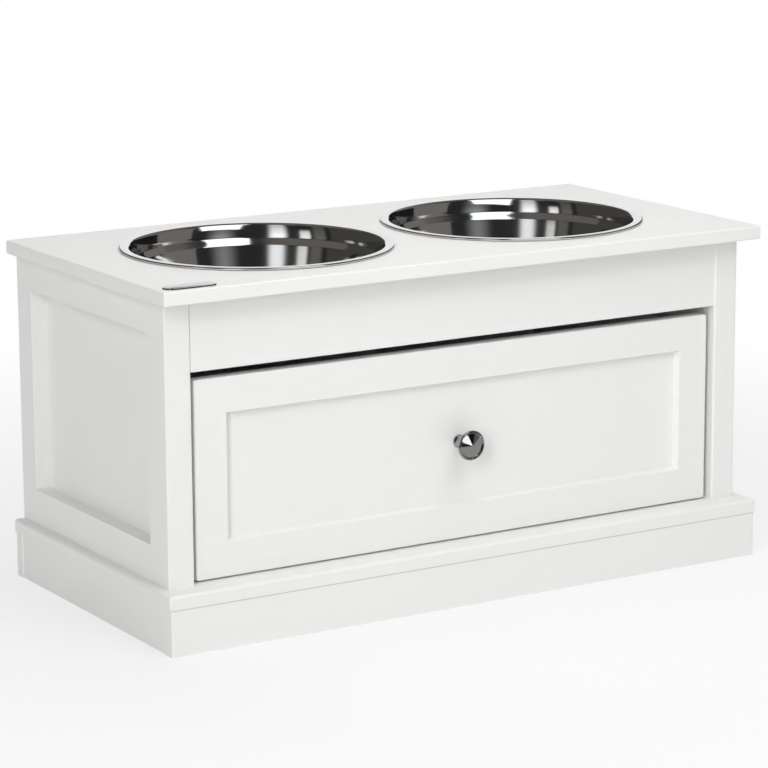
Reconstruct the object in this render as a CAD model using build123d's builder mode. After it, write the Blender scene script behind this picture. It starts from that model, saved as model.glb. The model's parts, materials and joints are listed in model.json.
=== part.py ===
"""Elevated feeding station for a dog: a white cabinet with a drawer and two lift-out steel bowls.

Millimetres. The origin is on the floor, under the middle of the cabinet. +X runs along the front,
to the right for someone facing the drawer, +Y runs to the back and +Z is up.
"""

import os
from math import atan2, degrees

from build123d import *

# ------------------------------------------------------------------ driving dimensions
# Bowls: spun steel, a rolled rim that rests on the top, a flare below it and a shoulder part of the way down
bowl_rim_radius = 119.0
bowl_rim_width = 8.0
bowl_sheet = 0.7
bowl_bead_radius = 1.1
bowl_lip_radius = 1.2
bowl_flare_drop = 6.0
bowl_flare_width = 2.6
bowl_flare_radius = 34.0
bowl_depth = 66.0
bowl_upper_wall = 12.8
bowl_upper_lean = 1.0
bowl_shoulder_height = 6.1
bowl_shoulder_width = 4.2
bowl_shoulder_radius = 2.0
bowl_wall_lean = 12.0
bowl_floor_radius = 12.0
bowl_rest_gap = 0.2
bowl_hole_clearance = 2.0

# How the bowls sit in the top: these set the width and the depth of the whole cabinet
bowl_gap = 25.0
rim_to_end = 49.5
rim_to_front = 31.0

# Top
top_thickness = 12.0
top_edge_radius = 1.2
top_corner_radius = 1.5

# Plinth: a board on four skirts
skirt_height = 40.0
skirt_thickness = 12.0
skirt_inset = 1.4
skirt_lap = 0.8
base_thickness = 12.0
base_edge_radius = 2.6
base_corner_radius = 2.0
plinth_block = 24.0
plinth_block_lift = 5.0

# Side frames: two stiles, two rails and a panel let into rabbets from the inside
body_end_setback = 10.0
side_thickness = 24.0
front_stile_width = 31.6
back_stile_width = 26.0
top_rail_height = 30.0
bottom_rail_height = 31.0
side_panel_thickness = 9.5
side_panel_lap = 8.0
side_panel_play = 0.3
stile_edge_radius = 1.6
tenon_length = 10.0
tenon_thickness = 7.0
tenon_shoulder = 5.0
tenon_clearance = 0.1
tenon_end_gap = 0.5

# Front rail, back rail and back panel
opening_height = 179.0
front_rail_height = 61.0
front_rail_thickness = 12.0
front_rail_setback = 1.3
bowl_to_front_rail = 2.7
back_rail_height = 45.0
back_rail_thickness = 12.0
back_panel_thickness = 5.0
back_panel_lap = 10.0
back_panel_play = 0.3
back_screw_end = 12.0
arris_radius = 1.0
rail_tenon_thickness = 6.0
rail_tenon_margin = 10.0
top_block_size = 20.0
top_block_length = 48.0

# Drawer
drawer_gap_side = 4.7
drawer_gap_top = 7.8
drawer_gap_bottom = 1.2
drawer_setback = 5.2
drawer_front_thickness = 12.0
drawer_front_edge_radius = 1.6
drawer_front_corner_radius = 2.4
frame_border = 30.0
recess_depth = 6.0
recess_slope_run = 2.0
box_board_thickness = 12.0
box_lift = 10.0
box_top_clearance = 19.0
box_back_clearance = 6.8
side_housing_depth = 4.0
box_edge_radius = 1.5
bottom_panel_thickness = 5.0
bottom_panel_lift = 8.0
bottom_groove_depth = 5.0
bottom_panel_play = 0.3

# Roller runners, one pair each side
runner_space = 12.5
runner_sheet = 1.0
runner_side_gap = 1.0
runner_front_gap = 1.8
runner_back_gap = 4.8
channel_drop = 5.0
channel_lip_height = 2.5
channel_mouth = 26.0
runner_top_gap = 0.6
runner_web_height = 17.0
runner_foot_width = 10.0
runner_screw_drop = 5.6
runner_screw_inset = 3.8
foot_screw_inset = 24.0
roller_radius = 9.0
roller_width = 6.0
roller_from_end = 12.0
roller_end_play = 0.2
roller_rolling_gap = 0.3
roller_pin_radius = 2.0
roller_pin_clearance = 0.08
pin_head_radius = 2.8
pin_head_thickness = 0.8
drawer_stop_margin = 5.7

# Knob: a turned chrome mushroom with a rolled edge
knob_radius = 13.3
knob_projection = 23.0
knob_foot_radius = 6.3
knob_neck_radius = 4.2
knob_edge_thickness = 3.2
knob_crown = 1.8
knob_rim_step = 0.5
knob_rim_width = 2.6
knob_foot_height = 1.2
knob_neck_low = 4.5
knob_neck_high = 9.0
knob_screw_radius = 2.0
knob_screw_bite = 9.0

# Wood screws
screw_clearance = 0.1
hole_overrun = 1.0
screw_radius = 1.75
screw_head_radius = 3.4
screw_bite = 18.0
base_screw_inset = 15.0
box_screw_inset = 11.0
bottom_screw_spread = 130.0
small_screw_radius = 1.4
small_screw_head_radius = 2.8
small_screw_bite = 8.0
wafer_head_height = 1.1
driver_slot = 0.9

# ------------------------------------------------------------------ levels and faces worked out
sides = ((-1, "left"), (1, "right"))

bowl_lip = bowl_rim_radius - bowl_rim_width
bowl_hole_radius = bowl_lip + bowl_hole_clearance
bowl_x = bowl_gap / 2 + bowl_rim_radius
width = 2 * (bowl_x + bowl_rim_radius + rim_to_end)
depth = 2 * (bowl_rim_radius + rim_to_front)
half_width = width / 2
half_depth = depth / 2

base_top = skirt_height + base_thickness
opening_top = base_top + opening_height
top_underside = opening_top + front_rail_height
top_surface = top_underside + top_thickness

side_outer = half_width - body_end_setback
side_inner = side_outer - side_thickness
rail_front = -(bowl_hole_radius + bowl_to_front_rail + front_rail_thickness)
rail_back = rail_front + front_rail_thickness
body_front = rail_front - front_rail_setback
front_stile_back = body_front + front_stile_width
back_stile_front = half_depth - back_stile_width
back_panel_face = half_depth - back_panel_thickness
back_rail_middle = top_underside - back_rail_height / 2
opening_middle = (base_top + opening_top) / 2
side_panel_face = side_inner + side_panel_thickness
side_panel_low = base_top + bottom_rail_height - side_panel_lap
side_panel_high = top_underside - top_rail_height + side_panel_lap
tenon_middle = (side_panel_face + side_outer) / 2

drawer_face = body_front + drawer_setback
drawer_front_back = drawer_face + drawer_front_thickness
drawer_front_low = base_top + drawer_gap_bottom
drawer_front_high = opening_top - drawer_gap_top
drawer_front_half = side_inner - drawer_gap_side
recess_face = drawer_face + recess_depth
box_outer = side_inner - runner_space
box_inner = box_outer - box_board_thickness
box_low = base_top + box_lift
box_high = opening_top - box_top_clearance
box_back = back_panel_face - box_back_clearance
bottom_panel_low = box_low + bottom_panel_lift
bottom_panel_high = bottom_panel_low + bottom_panel_thickness

runner_front = drawer_front_back + runner_front_gap
runner_back = back_panel_face - runner_back_gap
channel_low = box_low - channel_drop
channel_high = box_low + runner_web_height + runner_top_gap + runner_sheet
roller_middle = runner_space / 2
front_roller_y = runner_front + roller_from_end
front_roller_z = box_low + runner_web_height - runner_sheet - roller_rolling_gap - roller_radius
rear_roller_y = box_back - roller_from_end
rear_roller_z = channel_low + runner_sheet + roller_rolling_gap + roller_radius
drawer_travel = rear_roller_y - front_roller_y - 2 * roller_radius - drawer_stop_margin


# ------------------------------------------------------------------ helpers
def finish(piece, name):
    """Label one finished sub-part and write it."""
    piece.part.label = name
    export_step(piece.part, f"parts/{name}.step")


def board(x, y, z, mode=Mode.ADD):
    """A square-edged board that spans x, y and z, each given as two limits."""
    with Locations(((x[0] + x[1]) / 2, (y[0] + y[1]) / 2, (z[0] + z[1]) / 2)):
        Box(abs(x[1] - x[0]), abs(y[1] - y[0]), abs(z[1] - z[0]), mode=mode)


def drill(seats, radius, length):
    """Blind holes along the seats' own -Z, from the seats' origins."""
    with Locations(*seats):
        Cylinder(radius, length, align=(Align.CENTER, Align.CENTER, Align.MAX), mode=Mode.SUBTRACT)


def countersink(seats, radius, head_radius):
    """Conical seats for flat screw heads, flush with the face that the seats lie on."""
    rise = head_radius - radius
    with Locations(*seats):
        Cone(
            radius + screw_clearance,
            head_radius + screw_clearance,
            rise,
            align=(Align.CENTER, Align.CENTER, Align.MAX),
            mode=Mode.SUBTRACT,
        )


def flat_screw(radius, head_radius, length):
    """A countersunk screw, head flush at the origin, pointing down -Z."""
    rise = head_radius - radius
    with BuildPart() as screw:
        Cylinder(radius, length, align=(Align.CENTER, Align.CENTER, Align.MAX))
        Cone(radius, head_radius, rise, align=(Align.CENTER, Align.CENTER, Align.MAX))
    return screw.part


def wafer_screw(radius, head_radius, length):
    """A low-headed screw that bears on the origin's plane and points down -Z."""
    with BuildPart() as screw:
        Cylinder(radius, length, align=(Align.CENTER, Align.CENTER, Align.MAX))
        Cylinder(head_radius, wafer_head_height, align=(Align.CENTER, Align.CENTER, Align.MIN))
    return screw.part


def rivet():
    """A roller's pin along Z: tail in the sheet below the origin, shoulder, shaft and head."""
    half = roller_width / 2 + roller_end_play
    shoulder = roller_middle - runner_sheet - half
    with BuildPart() as pin:
        with BuildSketch(Plane.XZ):
            with BuildLine():
                Polyline(
                    (0, -runner_sheet),
                    (roller_pin_radius, -runner_sheet),
                    (roller_pin_radius, 0),
                    (pin_head_radius, 0),
                    (pin_head_radius, shoulder),
                    (roller_pin_radius, shoulder),
                    (roller_pin_radius, shoulder + 2 * half),
                    (pin_head_radius, shoulder + 2 * half),
                    (pin_head_radius, shoulder + 2 * half + pin_head_thickness),
                    (0, shoulder + 2 * half + pin_head_thickness),
                    close=True,
                )
            make_face()
        revolve(axis=Axis.Z)
    return pin.part


def cross_tenon(y, rail_height):
    """Stub tenons on both ends of a rail that runs across the cabinet under the top."""
    reach = side_inner + tenon_length
    board(
        (-reach, reach),
        (y - rail_tenon_thickness / 2, y + rail_tenon_thickness / 2),
        (top_underside - rail_height + rail_tenon_margin, top_underside - rail_tenon_margin),
    )


def cross_mortise(side, y, rail_height):
    """The slot in a stile that takes one of those tenons."""
    half = rail_tenon_thickness / 2 + tenon_clearance
    board(
        (side * side_inner, side * (side_inner + tenon_length + tenon_end_gap)),
        (y - half, y + half),
        (
            top_underside - rail_height + rail_tenon_margin - tenon_clearance,
            top_underside - rail_tenon_margin + tenon_clearance,
        ),
        Mode.SUBTRACT,
    )


# ------------------------------------------------------------------ where the fasteners sit
# Each seat is a plane on the face that takes the fastener, its +Z pointing out of that face.
def seat(x, y, z, direction):
    """A fastener's seat at a point, facing the direction given."""
    return Plane(origin=(x, y, z), z_dir=direction)


base_screw_seats = [
    seat(side * (side_inner + side_thickness / 2), y, skirt_height, (0, 0, -1))
    for side, hand in sides
    for y in (front_stile_back + base_screw_inset, back_stile_front - base_screw_inset)
]

back_screw_seats = [
    seat(side * (side_inner + back_panel_lap / 2), half_depth, z, (0, 1, 0))
    for side, hand in sides
    for z in (base_top + back_screw_end, opening_middle, top_underside - back_rail_height - back_screw_end)
]
back_screw_seats += [
    seat(side * bowl_x, half_depth, back_rail_middle, (0, 1, 0))
    for side, hand in sides
]

top_block_spans = [
    (rail_back, rail_back + top_block_length),
    (back_panel_face - back_rail_thickness - top_block_length, back_panel_face - back_rail_thickness),
]
top_block_seats = [
    seat(
        side * (side_inner - top_block_size / 2),
        (low + high) / 2,
        top_underside - top_block_size,
        (0, 0, -1),
    )
    for side, hand in sides
    for low, high in top_block_spans
]

runner_screw_z = box_low + runner_web_height - runner_sheet - runner_screw_drop
runner_screw_seats = {
    side: [
        seat(side * side_inner, y, runner_screw_z, (-side, 0, 0))
        for y in (runner_front + runner_screw_inset, back_stile_front + back_stile_width / 2)
    ]
    for side, hand in sides
}

foot_screw_seats = {
    side: [
        seat(side * (box_outer - runner_foot_width / 2), y, box_low - runner_sheet, (0, 0, -1))
        for y in (drawer_front_back + foot_screw_inset, box_back - foot_screw_inset)
    ]
    for side, hand in sides
}

box_back_screw_seats = {
    side: [
        seat(side * box_outer, box_back - box_board_thickness / 2, z, (side, 0, 0))
        for z in (bottom_panel_high + box_screw_inset, box_high - box_screw_inset)
    ]
    for side, hand in sides
}

bottom_screw_seats = [
    seat(x, box_back - box_board_thickness / 2, bottom_panel_low, (0, 0, -1))
    for x in (-bottom_screw_spread, 0, bottom_screw_spread)
]

cabinet_pin_seats = {
    side: seat(side * (side_inner - runner_sheet), front_roller_y, front_roller_z, (-side, 0, 0))
    for side, hand in sides
}
drawer_pin_seats = {
    side: seat(side * (box_outer + runner_sheet), rear_roller_y, rear_roller_z, (side, 0, 0))
    for side, hand in sides
}

knob_z = (drawer_front_low + drawer_front_high) / 2
knob_screw_seat = seat(0, drawer_front_back, knob_z, (0, 1, 0))

os.makedirs("parts", exist_ok=True)

# ------------------------------------------------------------------ top panel
with BuildPart() as top_panel:
    with BuildSketch(Plane.XY.offset(top_underside)):
        RectangleRounded(width, depth, top_corner_radius)
        with Locations((-bowl_x, 0), (bowl_x, 0)):
            Circle(bowl_hole_radius, mode=Mode.SUBTRACT)
    extrude(amount=top_thickness)
    fillet(top_panel.faces().sort_by(Axis.Z)[-1].outer_wire().edges(), top_edge_radius)
    fillet(top_panel.faces().sort_by(Axis.Z)[0].outer_wire().edges(), top_edge_radius)
    drill(
        [seat_plane.offset(-top_block_size) for seat_plane in top_block_seats],
        small_screw_radius + screw_clearance,
        small_screw_bite + hole_overrun,
    )
finish(top_panel, "top_panel")

# ------------------------------------------------------------------ side frames
for side, hand in sides:
    with BuildPart() as front_stile:
        with BuildSketch(Plane.XY.offset(base_top)) as stile_section:
            with Locations((side * (side_inner + side_outer) / 2, body_front + front_stile_width / 2)):
                Rectangle(side_thickness, front_stile_width)
            fillet(stile_section.vertices().group_by(Axis.Y)[0], stile_edge_radius)
        extrude(amount=top_underside - base_top)
        board(
            (side * side_inner, side * side_panel_face),
            (front_stile_back - side_panel_lap, front_stile_back),
            (side_panel_low, side_panel_high),
            Mode.SUBTRACT,
        )
        for rail_low, rail_high in (
            (base_top, base_top + bottom_rail_height),
            (top_underside - top_rail_height, top_underside),
        ):
            board(
                (
                    side * (tenon_middle - tenon_thickness / 2 - tenon_clearance),
                    side * (tenon_middle + tenon_thickness / 2 + tenon_clearance),
                ),
                (front_stile_back - tenon_length - tenon_end_gap, front_stile_back),
                (rail_low + tenon_shoulder - tenon_clearance, rail_high - tenon_shoulder + tenon_clearance),
                Mode.SUBTRACT,
            )
        cross_mortise(side, (rail_front + rail_back) / 2, front_rail_height)
        drill(
            runner_screw_seats[side][:1],
            small_screw_radius + screw_clearance,
            small_screw_bite + hole_overrun,
        )
    finish(front_stile, f"front_stile_{hand}")

    with BuildPart() as back_stile:
        board(
            (side * side_inner, side * side_outer),
            (back_stile_front, half_depth),
            (base_top, top_underside),
        )
        board(
            (side * side_inner, side * (side_inner + back_panel_lap)),
            (back_panel_face, half_depth),
            (base_top, top_underside),
            Mode.SUBTRACT,
        )
        board(
            (side * side_inner, side * side_panel_face),
            (back_stile_front, back_stile_front + side_panel_lap),
            (side_panel_low, side_panel_high),
            Mode.SUBTRACT,
        )
        for rail_low, rail_high in (
            (base_top, base_top + bottom_rail_height),
            (top_underside - top_rail_height, top_underside),
        ):
            board(
                (
                    side * (tenon_middle - tenon_thickness / 2 - tenon_clearance),
                    side * (tenon_middle + tenon_thickness / 2 + tenon_clearance),
                ),
                (back_stile_front, back_stile_front + tenon_length + tenon_end_gap),
                (rail_low + tenon_shoulder - tenon_clearance, rail_high - tenon_shoulder + tenon_clearance),
                Mode.SUBTRACT,
            )
        cross_mortise(side, back_panel_face - back_rail_thickness / 2, back_rail_height)
        drill(
            runner_screw_seats[side][1:],
            small_screw_radius + screw_clearance,
            small_screw_bite + hole_overrun,
        )
        drill(
            [back_seat.offset(-back_panel_thickness) for back_seat in back_screw_seats[:6]],
            small_screw_radius + screw_clearance,
            small_screw_bite + hole_overrun,
        )
    finish(back_stile, f"back_stile_{hand}")

    for rail_name, rail_low, rail_high, panel_edge in (
        ("bottom", base_top, base_top + bottom_rail_height, side_panel_low),
        ("top", top_underside - top_rail_height, top_underside, side_panel_high),
    ):
        with BuildPart() as side_rail:
            board(
                (side * side_inner, side * side_outer),
                (front_stile_back, back_stile_front),
                (rail_low, rail_high),
            )
            board(
                (
                    side * (tenon_middle - tenon_thickness / 2),
                    side * (tenon_middle + tenon_thickness / 2),
                ),
                (front_stile_back - tenon_length, back_stile_front + tenon_length),
                (rail_low + tenon_shoulder, rail_high - tenon_shoulder),
            )
            board(
                (side * side_inner, side * side_panel_face),
                (front_stile_back, back_stile_front),
                (panel_edge, rail_high if rail_name == "bottom" else rail_low),
                Mode.SUBTRACT,
            )
            if rail_name == "bottom":
                drill(
                    [base_seat.offset(-base_thickness) for base_seat in base_screw_seats],
                    screw_radius + screw_clearance,
                    screw_bite + hole_overrun,
                )
        finish(side_rail, f"side_{rail_name}_rail_{hand}")

    with BuildPart() as side_panel:
        board(
            (side * side_inner, side * side_panel_face),
            (
                front_stile_back - side_panel_lap + side_panel_play,
                back_stile_front + side_panel_lap - side_panel_play,
            ),
            (side_panel_low + side_panel_play, side_panel_high - side_panel_play),
        )
    finish(side_panel, f"side_panel_{hand}")

# ------------------------------------------------------------------ front rail, back rail, back panel
with BuildPart() as front_rail:
    board((-side_inner, side_inner), (rail_front, rail_back), (opening_top, top_underside))
    rail_face = front_rail.faces().sort_by(Axis.Y)[0]
    fillet(rail_face.edges().filter_by(Axis.X).sort_by(Axis.Z)[0], arris_radius)
    cross_tenon((rail_front + rail_back) / 2, front_rail_height)
finish(front_rail, "front_rail")

with BuildPart() as back_rail:
    board(
        (-side_inner, side_inner),
        (back_panel_face - back_rail_thickness, back_panel_face),
        (top_underside - back_rail_height, top_underside),
    )
    cross_tenon(back_panel_face - back_rail_thickness / 2, back_rail_height)
    drill(
        [back_seat.offset(-back_panel_thickness) for back_seat in back_screw_seats[6:]],
        small_screw_radius + screw_clearance,
        small_screw_bite + hole_overrun,
    )
finish(back_rail, "back_rail")

with BuildPart() as back_panel:
    panel_half = side_inner + back_panel_lap - back_panel_play
    board(
        (-panel_half, panel_half),
        (back_panel_face, half_depth),
        (base_top + back_panel_play, top_underside - back_panel_play),
    )
    drill(back_screw_seats, small_screw_radius + screw_clearance, back_panel_thickness)
    countersink(back_screw_seats, small_screw_radius, small_screw_head_radius)
finish(back_panel, "back_panel")

with BuildPart() as back_panel_screws:
    back_screw = flat_screw(
        small_screw_radius, small_screw_head_radius, back_panel_thickness + small_screw_bite
    )
    with Locations(*back_screw_seats):
        add(back_screw)
finish(back_panel_screws, "back_panel_screws")

# ------------------------------------------------------------------ blocks that hold the top
with BuildPart() as top_blocks:
    for side, hand in sides:
        for low, high in top_block_spans:
            board(
                (side * (side_inner - top_block_size), side * side_inner),
                (low, high),
                (top_underside - top_block_size, top_underside),
            )
    drill(top_block_seats, small_screw_radius + screw_clearance, top_block_size)
finish(top_blocks, "top_blocks")

with BuildPart() as top_block_screws:
    block_screw = wafer_screw(
        small_screw_radius, small_screw_head_radius, top_block_size + small_screw_bite
    )
    with Locations(*top_block_seats):
        add(block_screw)
finish(top_block_screws, "top_block_screws")

# ------------------------------------------------------------------ plinth
with BuildPart() as plinth_board:
    with BuildSketch(Plane.XY.offset(skirt_height)):
        RectangleRounded(width, depth, base_corner_radius)
    extrude(amount=base_thickness)
    fillet(plinth_board.faces().sort_by(Axis.Z)[-1].edges(), base_edge_radius)
    drill(base_screw_seats, screw_radius + screw_clearance, base_thickness)
    countersink(base_screw_seats, screw_radius, screw_head_radius)
finish(plinth_board, "plinth_board")

with BuildPart() as base_screws:
    base_screw = flat_screw(screw_radius, screw_head_radius, base_thickness + screw_bite)
    with Locations(*base_screw_seats):
        add(base_screw)
finish(base_screws, "base_screws")

skirt_end = half_width - skirt_inset
skirt_face = half_depth - skirt_lap
for face, place in ((-1, "front"), (1, "back")):
    with BuildPart() as skirt:
        board(
            (-skirt_end, skirt_end),
            (face * (skirt_face - skirt_thickness), face * skirt_face),
            (0, skirt_height),
        )
        fillet(skirt.edges().filter_by(Axis.Z), arris_radius)
    finish(skirt, f"plinth_{place}")

for side, hand in sides:
    with BuildPart() as skirt:
        board(
            (side * (skirt_end - skirt_lap - skirt_thickness), side * (skirt_end - skirt_lap)),
            (skirt_thickness - skirt_face, skirt_face - skirt_thickness),
            (0, skirt_height),
        )
    finish(skirt, f"plinth_side_{hand}")

with BuildPart() as plinth_blocks:
    block_end = skirt_end - skirt_lap - skirt_thickness
    block_face = skirt_face - skirt_thickness
    for face in (-1, 1):
        for side, hand in sides:
            with BuildSketch(Plane.XY.offset(plinth_block_lift)):
                with BuildLine():
                    Polyline(
                        (side * block_end, face * block_face),
                        (side * (block_end - plinth_block), face * block_face),
                        (side * block_end, face * (block_face - plinth_block)),
                        close=True,
                    )
                make_face()
            extrude(amount=skirt_height - plinth_block_lift)
finish(plinth_blocks, "plinth_blocks")

# ------------------------------------------------------------------ runners fixed to the cabinet
channel_edge = runner_space - runner_sheet - runner_side_gap
for side, hand in sides:
    with BuildPart() as channel:
        flange = (side * side_inner, side * (side_inner - channel_edge))
        board(
            (side * side_inner, side * (side_inner - runner_sheet)),
            (runner_front, runner_back),
            (channel_low, channel_high),
        )
        board(flange, (runner_front, runner_back), (channel_low, channel_low + runner_sheet))
        board(
            (side * (side_inner - channel_edge + runner_sheet), side * (side_inner - channel_edge)),
            (runner_front, runner_back),
            (channel_low, channel_low + channel_lip_height),
        )
        board(
            flange,
            (runner_front + channel_mouth, runner_back),
            (channel_high - runner_sheet, channel_high),
        )
        drill(
            [end.offset(runner_sheet) for end in runner_screw_seats[side]],
            small_screw_radius + screw_clearance,
            runner_sheet,
        )
        drill([cabinet_pin_seats[side]], roller_pin_radius + roller_pin_clearance, runner_sheet)
    finish(channel, f"cabinet_runner_{hand}")

with BuildPart() as cabinet_runner_screws:
    runner_screw = wafer_screw(
        small_screw_radius, small_screw_head_radius, runner_sheet + small_screw_bite
    )
    with Locations(*[end.offset(runner_sheet) for side, hand in sides for end in runner_screw_seats[side]]):
        add(runner_screw)
finish(cabinet_runner_screws, "cabinet_runner_screws")

# ------------------------------------------------------------------ drawer box
with BuildPart() as drawer_front:
    face_plane = Plane.XZ.offset(-drawer_face)
    with BuildSketch(face_plane):
        with Locations((0, knob_z)):
            RectangleRounded(
                2 * drawer_front_half,
                drawer_front_high - drawer_front_low,
                drawer_front_corner_radius,
            )
    extrude(amount=-drawer_front_thickness)
    fillet(drawer_front.faces().sort_by(Axis.Y)[0].edges(), drawer_front_edge_radius)
    with BuildSketch(face_plane):
        with Locations((0, knob_z)):
            Rectangle(
                2 * (drawer_front_half - frame_border),
                drawer_front_high - drawer_front_low - 2 * frame_border,
            )
    extrude(
        amount=-recess_depth,
        taper=degrees(atan2(recess_slope_run, recess_depth)),
        mode=Mode.SUBTRACT,
    )
    board(
        (-box_inner, box_inner),
        (drawer_front_back - bottom_groove_depth, drawer_front_back),
        (bottom_panel_low, bottom_panel_high + bottom_panel_play),
        Mode.SUBTRACT,
    )
    for side, hand in sides:
        board(
            (side * (box_inner - tenon_clearance), side * (box_outer + tenon_clearance)),
            (drawer_front_back - side_housing_depth, drawer_front_back),
            (box_low - tenon_clearance, box_high + tenon_clearance),
            Mode.SUBTRACT,
        )
    drill([knob_screw_seat], knob_screw_radius + screw_clearance, drawer_front_thickness)
finish(drawer_front, "drawer_front")

side_end = drawer_front_back - side_housing_depth + tenon_clearance
for side, hand in sides:
    with BuildPart() as drawer_side:
        board(
            (side * box_inner, side * box_outer),
            (side_end, box_back),
            (box_low, box_high),
        )
        fillet(drawer_side.faces().sort_by(Axis.Z)[-1].edges().filter_by(Axis.Y), box_edge_radius)
        board(
            (side * box_inner, side * (box_inner + bottom_groove_depth)),
            (side_end, box_back),
            (bottom_panel_low, bottom_panel_high + bottom_panel_play),
            Mode.SUBTRACT,
        )
        drill(box_back_screw_seats[side], screw_radius + screw_clearance, box_board_thickness)
        countersink(box_back_screw_seats[side], screw_radius, screw_head_radius)
        drill(foot_screw_seats[side], small_screw_radius + screw_clearance, small_screw_bite + hole_overrun)
    finish(drawer_side, f"drawer_side_{hand}")

with BuildPart() as drawer_back:
    board(
        (-box_inner, box_inner),
        (box_back - box_board_thickness, box_back),
        (bottom_panel_high, box_high),
    )
    fillet(drawer_back.faces().sort_by(Axis.Z)[-1].edges().filter_by(Axis.X), box_edge_radius)
    for side, hand in sides:
        drill(
            [end.offset(-box_board_thickness) for end in box_back_screw_seats[side]],
            screw_radius + screw_clearance,
            screw_bite + hole_overrun,
        )
    drill(
        [end.offset(-bottom_panel_thickness) for end in bottom_screw_seats],
        small_screw_radius + screw_clearance,
        small_screw_bite + hole_overrun,
    )
finish(drawer_back, "drawer_back")

with BuildPart() as drawer_bottom:
    bottom_half = box_inner + bottom_groove_depth - bottom_panel_play
    board(
        (-bottom_half, bottom_half),
        (drawer_front_back, box_back),
        (bottom_panel_low, bottom_panel_high),
    )
    board(
        (-box_inner + bottom_panel_play, box_inner - bottom_panel_play),
        (drawer_front_back - bottom_groove_depth + bottom_panel_play, drawer_front_back),
        (bottom_panel_low, bottom_panel_high),
    )
    drill(bottom_screw_seats, small_screw_radius + screw_clearance, bottom_panel_thickness)
finish(drawer_bottom, "drawer_bottom")

with BuildPart() as drawer_bottom_screws:
    bottom_screw = wafer_screw(
        small_screw_radius, small_screw_head_radius, bottom_panel_thickness + small_screw_bite
    )
    with Locations(*bottom_screw_seats):
        add(bottom_screw)
finish(drawer_bottom_screws, "drawer_bottom_screws")

with BuildPart() as drawer_back_screws:
    box_screw = flat_screw(screw_radius, screw_head_radius, box_board_thickness + screw_bite)
    with Locations(*box_back_screw_seats[-1], *box_back_screw_seats[1]):
        add(box_screw)
finish(drawer_back_screws, "drawer_back_screws")

# ------------------------------------------------------------------ runners fixed to the drawer
for side, hand in sides:
    with BuildPart() as drawer_runner:
        along = (drawer_front_back, box_back)
        web_face = side * (box_outer + runner_sheet)
        board((side * box_outer, web_face), along, (box_low - runner_sheet, box_low + runner_web_height))
        board(
            (side * (box_outer - runner_foot_width), web_face),
            along,
            (box_low - runner_sheet, box_low),
        )
        board(
            (side * box_outer, side * (side_inner - runner_sheet - runner_side_gap)),
            along,
            (box_low + runner_web_height - runner_sheet, box_low + runner_web_height),
        )
        drill(foot_screw_seats[side], small_screw_radius + screw_clearance, runner_sheet)
        drill([drawer_pin_seats[side]], roller_pin_radius + roller_pin_clearance, runner_sheet)
    finish(drawer_runner, f"drawer_runner_{hand}")

with BuildPart() as drawer_runner_screws:
    foot_screw = wafer_screw(
        small_screw_radius, small_screw_head_radius, runner_sheet + small_screw_bite
    )
    with Locations(*foot_screw_seats[-1], *foot_screw_seats[1]):
        add(foot_screw)
finish(drawer_runner_screws, "drawer_runner_screws")

# ------------------------------------------------------------------ rollers and their pins
for carrier, pin_seats, roller_y, roller_z in (
    ("cabinet", cabinet_pin_seats, front_roller_y, front_roller_z),
    ("drawer", drawer_pin_seats, rear_roller_y, rear_roller_z),
):
    with BuildPart() as roller_pins:
        pin = rivet()
        with Locations(*pin_seats.values()):
            add(pin)
    finish(roller_pins, f"{carrier}_roller_pins")

    for side, hand in sides:
        with BuildPart() as roller:
            with BuildSketch(Plane.YZ.offset(side * (side_inner - roller_middle) - roller_width / 2)):
                with Locations((roller_y, roller_z)):
                    Circle(roller_radius)
                    Circle(roller_pin_radius + roller_pin_clearance, mode=Mode.SUBTRACT)
            extrude(amount=roller_width)
        finish(roller, f"{carrier}_roller_{hand}")

# ------------------------------------------------------------------ knob
with BuildPart() as knob:
    knob_plane = Plane(origin=(0, recess_face, knob_z), x_dir=(1, 0, 0), z_dir=(0, 0, -1))
    cap_inset = knob_edge_thickness / 2
    cap_front = knob_projection - knob_crown
    cap_back = cap_front - knob_edge_thickness
    with BuildSketch(knob_plane):
        with BuildLine():
            Polyline(
                (0, knob_projection),
                (0, 0),
                (knob_foot_radius, 0),
                (knob_foot_radius, knob_foot_height),
            )
            Polyline(
                (knob_foot_radius, knob_foot_height),
                (knob_neck_radius, knob_neck_low),
                (knob_neck_radius, knob_neck_high),
                (knob_radius - cap_inset, cap_back),
            )
            ThreePointArc(
                (knob_radius - cap_inset, cap_back),
                (knob_radius, cap_back + cap_inset),
                (knob_radius - cap_inset, cap_front),
            )
            Polyline(
                (knob_radius - cap_inset, cap_front),
                (knob_radius - knob_rim_width, cap_front - knob_rim_step),
                (0, knob_projection),
            )
        make_face()
    revolve(axis=Axis(origin=(0, recess_face, knob_z), direction=(0, 1, 0)))
    drill(
        [seat(0, recess_face, knob_z, (0, 1, 0))],
        knob_screw_radius + screw_clearance,
        knob_screw_bite + hole_overrun,
    )
finish(knob, "knob")

with BuildPart() as knob_screw:
    machine_screw = wafer_screw(
        knob_screw_radius,
        2 * knob_screw_radius,
        drawer_front_thickness - recess_depth + knob_screw_bite,
    )
    with Locations(knob_screw_seat):
        add(machine_screw)
        with Locations((0, 0, wafer_head_height)):
            for cross in ((2 * knob_screw_radius, driver_slot), (driver_slot, 2 * knob_screw_radius)):
                Box(*cross, wafer_head_height, mode=Mode.SUBTRACT)
finish(knob_screw, "knob_screw")

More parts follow.
